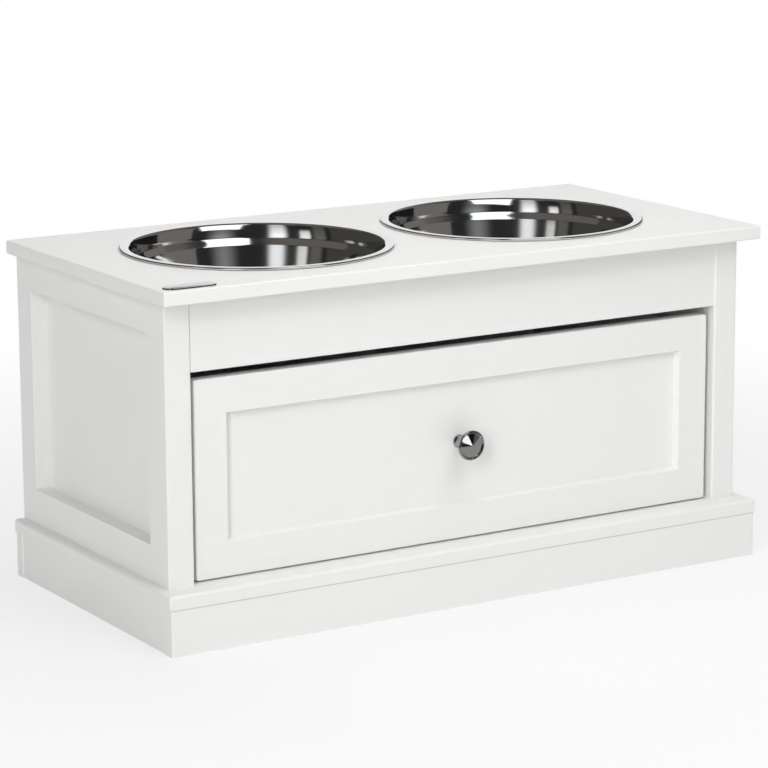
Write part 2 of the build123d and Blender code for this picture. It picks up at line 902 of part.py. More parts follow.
# ------------------------------------------------------------------ bowls
rim_top = top_surface + bowl_rest_gap + 2 * bowl_bead_radius
bead_z = rim_top - bowl_bead_radius
bead_x = bowl_rim_radius - bowl_bead_radius
bead_low = bead_z - bowl_bead_radius
bowl_bends = (
    bowl_floor_radius, bowl_shoulder_radius, bowl_shoulder_radius, bowl_flare_radius, bowl_lip_radius,
)
for side, hand in sides:
    with BuildPart() as bowl:
        bowl_plane = Plane(origin=(side * bowl_x, 0, 0), x_dir=(1, 0, 0), z_dir=(0, -1, 0))
        with BuildSketch(bowl_plane):
            with BuildLine():
                flare_foot = bowl_lip - bowl_flare_width
                shoulder_top = flare_foot - bowl_upper_lean
                shoulder_foot = shoulder_top - bowl_shoulder_width
                floor_z = rim_top - bowl_depth + bowl_sheet
                FilletPolyline(
                    (0, floor_z),
                    (shoulder_foot - bowl_wall_lean, floor_z),
                    (shoulder_foot, rim_top - bowl_upper_wall - bowl_shoulder_height),
                    (shoulder_top, rim_top - bowl_upper_wall),
                    (flare_foot, rim_top - bowl_flare_drop),
                    (bowl_lip, rim_top),
                    (bead_x, rim_top),
                    radius=bowl_bends,
                )
                offset(amount=bowl_sheet, side=Side.RIGHT, kind=Kind.INTERSECTION)
            make_face()
            with BuildLine():
                ThreePointArc((bead_x, rim_top), (bowl_rim_radius, bead_z), (bead_x, bead_low))
                Line((bead_x, bead_low), (bead_x, rim_top))
            make_face()
        revolve(axis=Axis(bowl_plane.origin, (0, 0, 1)))
    finish(bowl, f"bowl_{hand}")

print(f"cabinet {width:.1f} x {depth:.1f} x {top_surface:.1f}, drawer travel {drawer_travel:.1f}")
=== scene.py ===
import json
from math import atan2, cos, pi, radians, sin, tan

import bmesh
import bpy
from bpy.props import FloatProperty, FloatVectorProperty, IntProperty, PointerProperty
from bpy.types import Operator, Panel, PropertyGroup
from mathutils import Matrix, Vector


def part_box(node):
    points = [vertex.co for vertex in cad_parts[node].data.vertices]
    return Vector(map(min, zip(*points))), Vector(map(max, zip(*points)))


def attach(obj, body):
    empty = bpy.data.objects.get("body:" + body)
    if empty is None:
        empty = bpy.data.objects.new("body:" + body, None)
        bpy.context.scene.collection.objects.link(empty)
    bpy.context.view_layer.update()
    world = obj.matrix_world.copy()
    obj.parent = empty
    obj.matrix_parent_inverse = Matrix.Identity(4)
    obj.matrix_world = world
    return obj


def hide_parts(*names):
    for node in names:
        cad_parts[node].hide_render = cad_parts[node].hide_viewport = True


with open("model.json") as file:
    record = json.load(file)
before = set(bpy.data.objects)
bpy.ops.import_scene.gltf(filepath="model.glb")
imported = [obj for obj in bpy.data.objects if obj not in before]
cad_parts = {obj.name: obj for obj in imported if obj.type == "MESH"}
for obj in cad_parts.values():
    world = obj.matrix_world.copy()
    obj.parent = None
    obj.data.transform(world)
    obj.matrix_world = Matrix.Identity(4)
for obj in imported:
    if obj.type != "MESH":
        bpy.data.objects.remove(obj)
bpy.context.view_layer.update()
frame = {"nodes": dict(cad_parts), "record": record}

bl_info = {
    "name": "Raised Feeder Cabinet",
    "version": (1, 0, 0),
    "blender": (4, 5, 0),
    "location": "View3D > Sidebar > Feeder",
    "description": "Dresses the raised feeder cabinet: bowls, knob, blank plate, paint and studio",
    "category": "Object",
}

MM = 0.001

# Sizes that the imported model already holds.
TOP_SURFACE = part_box("top_panel")[1].z
BOWL_BOXES = {side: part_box(f"bowl_{side}") for side in ("left", "right")}
BOWL_RIM_RADIUS = (BOWL_BOXES["left"][1].x - BOWL_BOXES["left"][0].x) / 2
KNOB_LOW, KNOB_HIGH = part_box("knob")
KNOB_RADIUS = (KNOB_HIGH.x - KNOB_LOW.x) / 2
KNOB_REACH = KNOB_HIGH.y - KNOB_LOW.y

MERGE_DISTANCE = 0.002 * MM      # points nearer than this become one
LEVEL_TOLERANCE = 0.1 * MM       # heights nearer than this count as the same

# Where the blank plate lies, and the ring of faces inside its outline that keeps the top's bevel even.
PLATE_MIDDLE = Vector((-269.5 * MM, -135.8 * MM, TOP_SURFACE))
PLATE_RING = 1.4 * MM


def length_property(name, description, default):
    return FloatProperty(
        name=name, description=description, default=default, min=0.0, unit="LENGTH", subtype="DISTANCE",
    )


def colour_property(name, description, default):
    return FloatVectorProperty(
        name=name, description=description, default=default, size=3, min=0.0, max=1.0, subtype="COLOR",
    )


def factor_property(name, description, default):
    return FloatProperty(
        name=name, description=description, default=default, min=0.0, max=1.0, subtype="FACTOR",
    )


def power_property(name, description, default):
    return FloatProperty(name=name, description=description, default=default, min=0.0, unit="POWER")


def count_property(name, description, default, least):
    return IntProperty(name=name, description=description, default=default, min=least)


class FeederSizes(PropertyGroup):
    """Sizes of the pieces that are modelled here, in metres."""

    sheet: length_property("Sheet", "Thickness of the bowls' steel sheet", 0.7 * MM)
    rim_width: length_property("Rim width", "Width of the bowls' flat rim, bead included", 8.0 * MM)
    bead_radius: length_property("Bead radius", "Radius of the rolled edge of the rim", 1.1 * MM)
    lip_radius: length_property("Lip radius", "Rounding where the rim turns down into the bowl", 2.6 * MM)
    flare_drop: length_property("Flare drop", "Height of the flare under the lip", 6.0 * MM)
    flare_width: length_property("Flare width", "Width of the flare under the lip", 2.6 * MM)
    flare_radius: length_property("Flare radius", "Rounding from the flare into the upper wall", 34.0 * MM)
    upper_wall: length_property("Upper wall", "Height of the wall above the shoulder", 12.8 * MM)
    upper_lean: length_property("Upper lean", "Inward lean of the wall above the shoulder", 1.0 * MM)
    shoulder_height: length_property("Shoulder height", "Height of the sloping shoulder", 5.6 * MM)
    shoulder_width: length_property("Shoulder width", "Width of the sloping shoulder", 4.2 * MM)
    shoulder_radius: length_property("Shoulder radius", "Rounding of the shoulder's two bends", 2.0 * MM)
    wall_lean: length_property("Wall lean", "Inward lean of the wall below the shoulder", 12.0 * MM)
    floor_radius: length_property("Floor radius", "Rounding between the lower wall and the floor", 12.0 * MM)
    bowl_steps: count_property("Bowl steps", "Facets round each bowl", 256, 24)

    knob_cone_radius: length_property("Cone radius", "Radius of the knob's shallow cone", 10.7 * MM)
    knob_cone_drop: length_property("Cone drop", "How far the cone falls back from its point", 2.3 * MM)
    knob_point_drop: length_property("Point drop", "The cone's point, back from the full reach", 0.8 * MM)
    knob_rim_drop: length_property("Rim drop", "The ring round the cone, back from the full reach", 1.8 * MM)
    knob_cone_edge: length_property("Cone edge", "Rounding between the cone and its ring", 0.2 * MM)
    knob_edge_height: length_property("Edge height", "Thickness of the rounded edge", 3.2 * MM)
    knob_neck_radius: length_property("Neck radius", "Radius of the neck", 4.2 * MM)
    knob_neck_high: length_property("Neck top", "From the drawer front to the top of the neck", 9.0 * MM)
    knob_neck_low: length_property("Neck foot", "From the drawer front to the foot of the neck", 3.2 * MM)
    knob_neck_bend: length_property("Neck bend", "Rounding from the head's back into the neck", 2.5 * MM)
    knob_foot_bend: length_property("Foot bend", "Rounding from the neck into the foot", 1.5 * MM)
    knob_foot_radius: length_property("Foot radius", "Radius of the foot on the drawer front", 6.0 * MM)
    knob_foot_height: length_property("Foot height", "Thickness of the foot", 0.8 * MM)
    knob_foot_edge: length_property("Foot edge", "Rounding of the foot's edge", 0.3 * MM)
    knob_steps: count_property("Knob steps", "Facets round the knob", 96, 16)

    plate_length: length_property("Plate length", "Length of the blank metal plate", 48.0 * MM)
    plate_width: length_property("Plate width", "Width of the blank metal plate", 16.0 * MM)
    plate_thickness: length_property("Plate thickness", "Thickness of the blank metal plate", 1.2 * MM)
    plate_slant: length_property("Plate slant", "Inward lean of the plate's side", 0.35 * MM)
    plate_edge: length_property("Plate edge", "Rounding of the plate's upper edge", 0.2 * MM)


class FeederFinishes(PropertyGroup):
    """Colours and gloss of the finishes."""

    paint: colour_property("Paint", "Satin white paint", (0.87, 0.866, 0.853))
    paint_roughness: factor_property("Paint roughness", "Roughness of the satin paint", 0.42)
    softwood: colour_property("Softwood", "Pale wood between the growth rings", (0.66, 0.48, 0.29))
    late_wood: colour_property("Late wood", "Darker lines of the growth rings", (0.45, 0.27, 0.13))
    steel: colour_property("Steel", "Polished stainless steel", (0.66, 0.66, 0.655))
    steel_roughness: factor_property("Steel roughness", "Roughness of the polished bowls", 0.07)
    chrome: colour_property("Chrome", "Dark chrome plating of the knob", (0.38, 0.38, 0.385))
    nickel: colour_property("Nickel", "Satin nickel of the blank plate", (0.54, 0.54, 0.545))
    zinc: colour_property("Zinc", "Zinc-plated screws and pins", (0.62, 0.62, 0.58))
    epoxy: colour_property("Epoxy", "Baked white coating of the runners", (0.80, 0.80, 0.785))
    nylon: colour_property("Nylon", "Natural nylon of the rollers", (0.78, 0.77, 0.73))


class FeederStudio(PropertyGroup):
    """Strengths of the lamps and of the even light, and the tone of the floor."""

    ambient: factor_property("Ambient", "Even light from all round", 0.25)
    front_power: power_property("Front power", "Soft lamp low in front", 6.2)
    softbox_power: power_property("Softbox power", "Upright softbox close in front", 7.5)
    strip_power: power_property("Strip power", "Tall strip lamp to the left of the front", 58.0)
    overhead_power: power_property("Overhead power", "Soft lamp above and behind", 21.5)
    floor_tone: factor_property("Floor tone", "Paleness of the floor", 0.86)
    shadow_share: factor_property("Shadow share", "How much of the object's shadow the floor shows", 0.35)


# ------------------------------------------------------------------ mesh helpers

def add_object(name, shape, material, sharp_angle=radians(40)):
    """Turns a bmesh into a finished object at the origin, shaded smooth between its sharp edges."""
    mesh = bpy.data.meshes.new(name)
    for face in shape.faces:
        face.smooth = True
    shape.to_mesh(mesh)
    shape.free()
    mesh.set_sharp_from_angle(angle=sharp_angle)
    mesh.materials.append(material)
    piece = bpy.data.objects.new(name, mesh)
    bpy.context.scene.collection.objects.link(piece)
    return piece


def draw_profile(points, shape=None):
    """Draws a line of (radius, height, rounding) points in the XZ plane and rounds its corners."""
    shape = shape or bmesh.new()
    line = [shape.verts.new((radius, 0.0, height)) for radius, height, _ in points]
    for start, end in zip(line, line[1:]):
        shape.edges.new((start, end))
    for index in range(1, len(points) - 1):
        rounding = points[index][2]
        if rounding:
            round_corner(shape, line[index], points[index - 1:index + 2], rounding)
    return shape


def round_corner(shape, corner, neighbours, rounding):
    """Rounds one corner of a profile to a radius."""
    before, here, after = (Vector((radius, height)) for radius, height, _ in neighbours)
    inside_angle = (before - here).angle(after - here)
    bmesh.ops.bevel(
        shape, geom=[corner], offset=rounding / tan(inside_angle / 2), offset_type="OFFSET",
        affect="VERTICES", segments=8, profile=0.5, material=-1, clamp_overlap=False,
    )


def divide_long_edges(shape, longest):
    """Divides the straight stretches of a profile, so that their reflections stay straight."""
    for edge in list(shape.edges):
        cuts = int(edge.calc_length() / longest)
        if cuts:
            bmesh.ops.subdivide_edges(shape, edges=[edge], cuts=cuts)


def spin_profile(shape, steps, centre=(0, 0, 0)):
    """Spins the profile once round the Z axis, closes it on itself and points its faces outwards."""
    bmesh.ops.spin(
        shape, geom=list(shape.verts) + list(shape.edges), cent=(0, 0, 0), axis=(0, 0, 1),
        angle=2 * pi, steps=steps, use_merge=True,
    )
    bmesh.ops.remove_doubles(shape, verts=list(shape.verts), dist=MERGE_DISTANCE)
    bmesh.ops.recalc_face_normals(shape, faces=list(shape.faces))
    bmesh.ops.translate(shape, verts=list(shape.verts), vec=centre)


# ------------------------------------------------------------------ material helpers

def begin_material(name):
    """Makes an empty material and returns it with its tree and its surface shader."""
    material = bpy.data.materials.new(name)
    material.use_nodes = True
    tree = material.node_tree
    tree.nodes.clear()
    output = tree.nodes.new("ShaderNodeOutputMaterial")
    shader = tree.nodes.new("ShaderNodeBsdfPrincipled")
    tree.links.new(shader.outputs["BSDF"], output.inputs["Surface"])
    return material, tree, shader


def place_pattern(tree, centre=(0, 0, 0), stretch=(1, 1, 1)):
    """Object coordinates measured from a centre and stretched."""
    coordinates = tree.nodes.new("ShaderNodeTexCoord")
    shift = tree.nodes.new("ShaderNodeMapping")
    shift.vector_type = "POINT"
    shift.inputs["Location"].default_value = [-value for value in centre]
    tree.links.new(coordinates.outputs["Object"], shift.inputs["Vector"])
    spread = tree.nodes.new("ShaderNodeMapping")
    spread.inputs["Scale"].default_value = stretch
    tree.links.new(shift.outputs["Vector"], spread.inputs["Vector"])
    return spread.outputs["Vector"]


def add_noise(tree, vector, scale, detail):
    noise = tree.nodes.new("ShaderNodeTexNoise")
    noise.inputs["Scale"].default_value = scale
    noise.inputs["Detail"].default_value = detail
    tree.links.new(vector, noise.inputs["Vector"])
    return noise.outputs["Fac"]


def spread_range(tree, value, low, high, from_low=0.3, from_high=0.7):
    """Maps a pattern's usual range on to low..high."""
    mapping = tree.nodes.new("ShaderNodeMapRange")
    for socket, number in zip(("From Min", "From Max", "To Min", "To Max"), (from_low, from_high, low, high)):
        mapping.inputs[socket].default_value = number
    tree.links.new(value, mapping.inputs["Value"])
    return mapping.outputs["Result"]


def blend_colours(tree, value, dark, light, clamped=True):
    mix = tree.nodes.new("ShaderNodeMix")
    mix.data_type = "RGBA"
    mix.clamp_factor = clamped
    mix.inputs["A"].default_value = (*dark, 1.0)
    mix.inputs["B"].default_value = (*light, 1.0)
    tree.links.new(value, mix.inputs["Factor"])
    return mix.outputs["Result"]


def raise_surface(tree, shader, height, distance):
    """Adds a layer of relief to the shader, over the relief that it already has."""
    bump = tree.nodes.new("ShaderNodeBump")
    bump.inputs["Distance"].default_value = distance
    bump.inputs["Strength"].default_value = 1.0
    tree.links.new(height, bump.inputs["Height"])
    below = shader.inputs["Normal"]
    if below.is_linked:
        tree.links.new(below.links[0].from_socket, bump.inputs["Normal"])
    tree.links.new(bump.outputs["Normal"], below)


def calculate(tree, operation, *values):
    """A maths node on sockets and plain numbers."""
    node = tree.nodes.new("ShaderNodeMath")
    node.operation = operation
    for socket, value in zip(node.inputs, values):
        if isinstance(value, bpy.types.NodeSocket):
            tree.links.new(value, socket)
        else:
            socket.default_value = value
    return node.outputs["Value"]


def shade(colour, factor):
    return [min(channel * factor, 1.0) for channel in colour]


def colour_surface(tree, shader, pattern, dark, light):
    """Lets a pattern move the surface between two colours."""
    tree.links.new(blend_colours(tree, pattern, dark, light), shader.inputs["Base Color"])


def dull_surface(tree, shader, pattern, low, high):
    """Lets a pattern move the surface between two roughnesses."""
    tree.links.new(spread_range(tree, pattern, low, high), shader.inputs["Roughness"])


# ------------------------------------------------------------------ finishes

def satin_paint(finishes, name="satin white paint", joint=None):
    """Sprayed white paint: orange peel, a slight drift of tone and gloss, and, where given, a painted shadow
    line in a joint's gap.
    """
    material, tree, shader = begin_material(name)
    vector = place_pattern(tree)
    drift = add_noise(tree, vector, scale=7.0, detail=3.0)
    colour = blend_colours(tree, drift, shade(finishes.paint, factor=0.985), finishes.paint)
    if joint:
        # Paints the shadow in the joint's gap into the colour, as a dark line.
        colour = paint_joint_shadow(tree, vector, colour, **joint)
    tree.links.new(colour, shader.inputs["Base Color"])
    glossier, duller = 0.05, 0.06
    sheen_patches = add_noise(tree, vector, scale=38.0, detail=4.0)
    dull_surface(
        tree, shader, sheen_patches,
        low=finishes.paint_roughness - glossier, high=finishes.paint_roughness + duller,
    )
    shader.inputs["Specular IOR Level"].default_value = 0.45
    raise_surface(tree, shader, add_noise(tree, vector, scale=520.0, detail=1.0), distance=0.012 * MM)
    raise_surface(tree, shader, add_noise(tree, vector, scale=2600.0, detail=2.0), distance=0.0015 * MM)
    return material


def paint_joint_shadow(tree, vector, colour, axis, place, width, share):
    """Paints the shadow in a butt joint's gap: darkens the paint beside the joint, down to a share of its
    tone where the boards meet.
    """
    parts = tree.nodes.new("ShaderNodeSeparateXYZ")
    tree.links.new(vector, parts.inputs["Vector"])
    away = calculate(tree, "ABSOLUTE", calculate(tree, "SUBTRACT", parts.outputs[axis], place))
    # Painted shade: the tone falls to the share at the joint and returns to full at the width.
    level = spread_range(tree, away, low=share, high=1.0, from_low=0.0, from_high=width)
    shadowed = tree.nodes.new("ShaderNodeVectorMath")
    shadowed.operation = "SCALE"
    tree.links.new(colour, shadowed.inputs[0])
    tree.links.new(level, shadowed.inputs["Scale"])
    return shadowed.outputs["Vector"]


def bare_softwood(finishes):
    """Planed softwood: growth rings stretched along the board, and its fibres' fine relief."""
    material, tree, shader = begin_material("bare softwood")
    vector = place_pattern(tree, stretch=(1.0, 6.0, 6.0))
    wander = add_noise(tree, vector, scale=9.0, detail=3.0)
    rings = tree.nodes.new("ShaderNodeTexWave")
    rings.wave_type, rings.bands_direction = "BANDS", "Z"
    rings.inputs["Scale"].default_value = 12.0
    rings.inputs["Distortion"].default_value = 6.0
    rings.inputs["Detail"].default_value = 3.0
    tree.links.new(vector, rings.inputs["Vector"])
    lines = spread_range(tree, rings.outputs["Fac"], low=0.0, high=1.0, from_low=0.1, from_high=0.95)
    colour_surface(tree, shader, lines, finishes.late_wood, finishes.softwood)
    dull_surface(tree, shader, wander, low=0.55, high=0.72)
    fibres = place_pattern(tree, stretch=(30.0, 900.0, 900.0))
    raise_surface(tree, shader, add_noise(tree, fibres, scale=1.0, detail=4.0), distance=0.06 * MM)
    return material


def polished_steel(name, finishes, centre):
    """Mirror-polished steel with the faint rings that spinning and polishing leave round the bowl's axis."""
    material, tree, shader = begin_material(name)
    shader.inputs["Metallic"].default_value = 1.0
    from_axis = place_pattern(tree, centre=centre)
    parts = tree.nodes.new("ShaderNodeSeparateXYZ")
    tree.links.new(from_axis, parts.inputs["Vector"])
    flat = tree.nodes.new("ShaderNodeCombineXYZ")
    tree.links.new(parts.outputs["X"], flat.inputs["X"])
    tree.links.new(parts.outputs["Y"], flat.inputs["Y"])
    radius = tree.nodes.new("ShaderNodeVectorMath")
    radius.operation = "LENGTH"
    tree.links.new(flat.outputs["Vector"], radius.inputs[0])
    rings = tree.nodes.new("ShaderNodeCombineXYZ")
    tree.links.new(radius.outputs["Value"], rings.inputs["X"])
    tree.links.new(parts.outputs["Z"], rings.inputs["Z"])
    tone = add_noise(tree, rings.outputs["Vector"], scale=260.0, detail=3.0)
    colour_surface(tree, shader, tone, shade(finishes.steel, factor=0.95), shade(finishes.steel, factor=1.03))
    glossier, duller = 0.7, 1.5
    dull_surface(
        tree, shader, add_noise(tree, from_axis, scale=24.0, detail=4.0),
        low=finishes.steel_roughness * glossier, high=finishes.steel_roughness * duller,
    )
    along = tree.nodes.new("ShaderNodeVectorMath")
    along.operation = "CROSS_PRODUCT"
    tree.links.new(flat.outputs["Vector"], along.inputs[0])
    along.inputs[1].default_value = (0, 0, 1)
    shader.inputs["Anisotropic"].default_value = 0.55
    tree.links.new(along.outputs["Vector"], shader.inputs["Tangent"])
    polishing = add_noise(tree, rings.outputs["Vector"], scale=900.0, detail=3.0)
    raise_surface(tree, shader, polishing, distance=0.0006 * MM)
    raise_surface(tree, shader, add_noise(tree, from_axis, scale=14.0, detail=1.0), distance=0.02 * MM)
    return material


def plated_metal(name, colour, centre, smooth, dull):
    """Plating over metal: a mirror with a breath of haze, between two roughnesses."""
    material, tree, shader = begin_material(name)
    shader.inputs["Metallic"].default_value = 1.0
    vector = place_pattern(tree, centre=centre)
    haze = add_noise(tree, vector, scale=180.0, detail=4.0)
    colour_surface(tree, shader, haze, shade(colour, factor=0.94), colour)
    dull_surface(tree, shader, haze, low=smooth, high=dull)
    raise_surface(tree, shader, add_noise(tree, vector, scale=420.0, detail=1.0), distance=0.0012 * MM)
    return material


def zinc_plate(finishes):
    """Zinc-plated steel: small mottled crystals and a dull shine."""
    material, tree, shader = begin_material("zinc-plated steel")
    shader.inputs["Metallic"].default_value = 1.0
    vector = place_pattern(tree)
    mottle = add_noise(tree, vector, scale=900.0, detail=3.0)
    colour_surface(tree, shader, mottle, shade(finishes.zinc, factor=0.82), shade(finishes.zinc, factor=1.08))
    dull_surface(tree, shader, mottle, low=0.28, high=0.42)
    raise_surface(tree, shader, mottle, distance=0.01 * MM)
    return material


def epoxy_coat(finishes):
    """Baked white coating on folded steel: glossier than the paint, with a deeper peel."""
    material, tree, shader = begin_material("white epoxy coating")
    vector = place_pattern(tree)
    peel = add_noise(tree, vector, scale=700.0, detail=2.0)
    drift = add_noise(tree, vector, scale=15.0, detail=2.0)
    colour_surface(tree, shader, drift, shade(finishes.epoxy, factor=0.97), finishes.epoxy)
    dull_surface(tree, shader, peel, low=0.24, high=0.34)
    raise_surface(tree, shader, peel, distance=0.02 * MM)
    return material


def moulded_nylon(finishes):
    """Natural nylon: waxy, slightly translucent, with a fine grain."""
    material, tree, shader = begin_material("natural nylon")
    vector = place_pattern(tree)
    cloud = add_noise(tree, vector, scale=160.0, detail=3.0)
    colour_surface(tree, shader, cloud, shade(finishes.nylon, factor=0.93), finishes.nylon)
    dull_surface(tree, shader, cloud, low=0.34, high=0.48)
    shader.inputs["Subsurface Weight"].default_value = 0.15
    shader.inputs["Subsurface Scale"].default_value = 1.0 * MM
    raise_surface(tree, shader, add_noise(tree, vector, scale=1500.0, detail=2.0), distance=0.008 * MM)
    return material


def dress_nodes(slot, material):
    """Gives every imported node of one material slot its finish."""
    names = [part["node"] for part in frame["record"]["subparts"] if part["material_slot"] == slot]
    if not names:
        raise RuntimeError(f"no node has the finish {slot}")
    for name in names:
        materials = frame["nodes"][name].data.materials
        if not materials:
            materials.append(material)
        for index in range(len(materials)):
            materials[index] = material


def paint_joint_shadows(finishes):
    """Paints shadow lines into the joints of the front rail and the plinth's skirts, as fine dark lines in
    the paint.
    """
    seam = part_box("plinth_board")[0].z
    stile_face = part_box("front_stile_left")[1].x
    # Painted shadow under the plinth board's edge: deep along the front and back, light along the sides.
    long_seam_shadow = {"axis": "Z", "place": seam, "width": 1.2 * MM, "share": 0.35}
    short_seam_shadow = {"axis": "Z", "place": seam, "width": 0.9 * MM, "share": 0.75}
    joint_shadows = {
        # The rail's painted shadow line stands only at its left end, where the gap's shade shows beside the
        # left stile's proud edge.
        "front_rail": {"axis": "X", "place": stile_face, "width": 0.5 * MM, "share": 0.12},
        "plinth_front": long_seam_shadow,
        "plinth_side_left": short_seam_shadow,
        "plinth_side_right": short_seam_shadow,
        "plinth_back": long_seam_shadow,
    }
    for name, joint in joint_shadows.items():
        # Each of these boards gets its own paint, with the painted joint shadow.
        frame["nodes"][name].data.materials[0] = satin_paint(finishes, f"satin white paint {name}", joint)


# ------------------------------------------------------------------ pieces

def bowl_profile(sizes, bottom, top):
    """The inside of a bowl from the middle of its floor to its rim, as (radius, height, rounding)."""
    lip = BOWL_RIM_RADIUS - sizes.rim_width
    flare_foot = lip - sizes.flare_width
    shoulder_top = flare_foot - sizes.upper_lean
    shoulder_foot = shoulder_top - sizes.shoulder_width
    floor_height = bottom + sizes.sheet
    upper_foot = top - sizes.upper_wall
    return [
        (0.0, floor_height, 0.0),
        (shoulder_foot - sizes.wall_lean, floor_height, sizes.floor_radius),
        (shoulder_foot, upper_foot - sizes.shoulder_height, sizes.shoulder_radius),
        (shoulder_top, upper_foot, sizes.shoulder_radius),
        (flare_foot, top - sizes.flare_drop, sizes.flare_radius),
        (lip, top, sizes.lip_radius),
        (BOWL_RIM_RADIUS - sizes.bead_radius, top, 0.0),
    ]


def roll_bead(shape, sizes, top):
    """Rolls the edge of the rim outwards and under."""
    turn, facets = radians(215), 14
    edge = max(shape.verts, key=lambda vertex: vertex.co.x)
    centre = (edge.co.x, 0.0, top - sizes.bead_radius)
    bmesh.ops.spin(shape, geom=[edge], cent=centre, axis=(0, 1, 0), angle=turn, steps=facets)


def make_bowl(side, sizes, finishes):
    """Spins one bowl and gives its sheet a thickness."""
    low, high = BOWL_BOXES[side]
    centre = ((low.x + high.x) / 2, (low.y + high.y) / 2, 0.0)
    shape = draw_profile(bowl_profile(sizes, low.z, high.z))
    divide_long_edges(shape, longest=5 * MM)
    roll_bead(shape, sizes, high.z)
    spin_profile(shape, sizes.bowl_steps, centre)
    flip_downward_floor(shape, low.z + sizes.sheet)
    steel = polished_steel(f"polished steel {side}", finishes, centre)
    bowl = add_object(f"spun_bowl_{side}", shape, steel, sharp_angle=radians(60))
    wall = bowl.modifiers.new("sheet thickness", "SOLIDIFY")
    wall.thickness = sizes.sheet
    wall.offset = -1.0
    wall.use_even_offset = False
    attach(bowl, f"bowl_{side}")
    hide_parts(f"bowl_{side}")


def flip_downward_floor(shape, floor_height):
    """Makes the faces of an open bowl look into the bowl."""
    floor_faces = [
        face for face in shape.faces if abs(face.calc_center_median().z - floor_height) < LEVEL_TOLERANCE
    ]
    if sum(face.normal.z for face in floor_faces) < 0:
        bmesh.ops.reverse_faces(shape, faces=list(shape.faces))


def knob_profile(sizes):
    """The knob's front and its back, each as (radius, distance from the drawer front, rounding)."""
    edge_radius = sizes.knob_edge_height / 2
    point = KNOB_REACH - sizes.knob_point_drop
    rim = KNOB_REACH - sizes.knob_rim_drop
    edge_middle = rim - edge_radius
    front = [
        (0.0, point, 0.0),
        (sizes.knob_cone_radius, point - sizes.knob_cone_drop, sizes.knob_cone_edge),
        (KNOB_RADIUS - edge_radius, rim, 0.0),
    ]
    back = [
        (KNOB_RADIUS - edge_radius, edge_middle - edge_radius, 0.0),
        (sizes.knob_neck_radius, sizes.knob_neck_high, sizes.knob_neck_bend),
        (sizes.knob_neck_radius, sizes.knob_neck_low, sizes.knob_foot_bend),
        (sizes.knob_foot_radius, sizes.knob_foot_height, sizes.knob_foot_edge),
        (sizes.knob_foot_radius, 0.0, 0.0),
        (0.0, 0.0, 0.0),
    ]
    return front, back, edge_middle


def make_knob(sizes, finishes):
    """Turns the drawer knob."""
    front, back, edge_middle = knob_profile(sizes)
    shape = draw_profile(front)
    edge = max(shape.verts, key=lambda vertex: vertex.co.x)
    centre = (edge.co.x, 0.0, edge_middle)
    bmesh.ops.spin(shape, geom=[edge], cent=centre, axis=(0, 1, 0), angle=pi, steps=16)
    draw_profile(back, shape)
    bmesh.ops.remove_doubles(shape, verts=list(shape.verts), dist=MERGE_DISTANCE)
    divide_long_edges(shape, longest=1.5 * MM)
    spin_profile(shape, sizes.knob_steps)
    axis_height = (KNOB_LOW.z + KNOB_HIGH.z) / 2
    foot = Vector(((KNOB_LOW.x + KNOB_HIGH.x) / 2, KNOB_HIGH.y, axis_height))
    place = Matrix.Translation(foot) @ Matrix.Rotation(pi / 2, 4, "X")
    bmesh.ops.transform(shape, matrix=place, verts=list(shape.verts))
    chrome = plated_metal("chrome knob", finishes.chrome, foot, smooth=0.04, dull=0.10)
    knob = add_object("turned_knob", shape, chrome, sharp_angle=radians(35))
    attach(knob, "drawer")
    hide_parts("knob")


def make_plate(sizes, finishes):
    """Sets a blank metal plate with round ends on the front left corner of the top."""
    end_radius = sizes.plate_width / 2
    half_straight = sizes.plate_length / 2 - end_radius
    shape = bmesh.new()
    start = shape.verts.new((half_straight, -end_radius, 0.0))
    bmesh.ops.spin(shape, geom=[start], cent=(half_straight, 0, 0), axis=(0, 0, 1), angle=pi, steps=20)
    arc = list(shape.verts) + list(shape.edges)
    bmesh.ops.mirror(shape, geom=arc, axis="X", merge_dist=0.0)
    for side in (1, -1):
        ends = sorted(shape.verts, key=lambda vertex: abs(vertex.co.y - side * end_radius))[:2]
        shape.edges.new(ends)
    outline = bmesh.ops.contextual_create(shape, geom=list(shape.edges))["faces"]
    bmesh.ops.inset_region(shape, faces=outline, thickness=PLATE_RING)
    raised = bmesh.ops.extrude_face_region(shape, geom=list(shape.faces))["geom"]
    top = [item for item in raised if isinstance(item, bmesh.types.BMVert)]
    bmesh.ops.translate(shape, verts=top, vec=(0, 0, sizes.plate_thickness))
    shrink = [1 - 2 * sizes.plate_slant / extent for extent in (sizes.plate_length, sizes.plate_width)]
    bmesh.ops.scale(shape, verts=top, vec=(*shrink, 1))
    bmesh.ops.recalc_face_normals(shape, faces=list(shape.faces))
    rim = [edge for edge in shape.edges if is_plate_rim(edge, sizes.plate_thickness)]
    bmesh.ops.bevel(
        shape, geom=rim, offset=sizes.plate_edge, offset_type="OFFSET", affect="EDGES", segments=4,
        profile=0.5, material=-1, clamp_overlap=True,
    )
    bmesh.ops.translate(shape, verts=list(shape.verts), vec=PLATE_MIDDLE)
    nickel = plated_metal("satin plate", finishes.nickel, PLATE_MIDDLE, smooth=0.10, dull=0.16)
    plate = add_object("blank_plate", shape, nickel, sharp_angle=radians(35))
    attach(plate, "cabinet")


def is_plate_rim(edge, thickness):
    """True for the edges where the plate's side meets its top."""
    at_top = all(abs(vertex.co.z - thickness) < LEVEL_TOLERANCE for vertex in edge.verts)
    beside_side = any(abs(face.normal.z) < 0.5 for face in edge.link_faces)
    return at_top and beside_side


# ------------------------------------------------------------------ studio

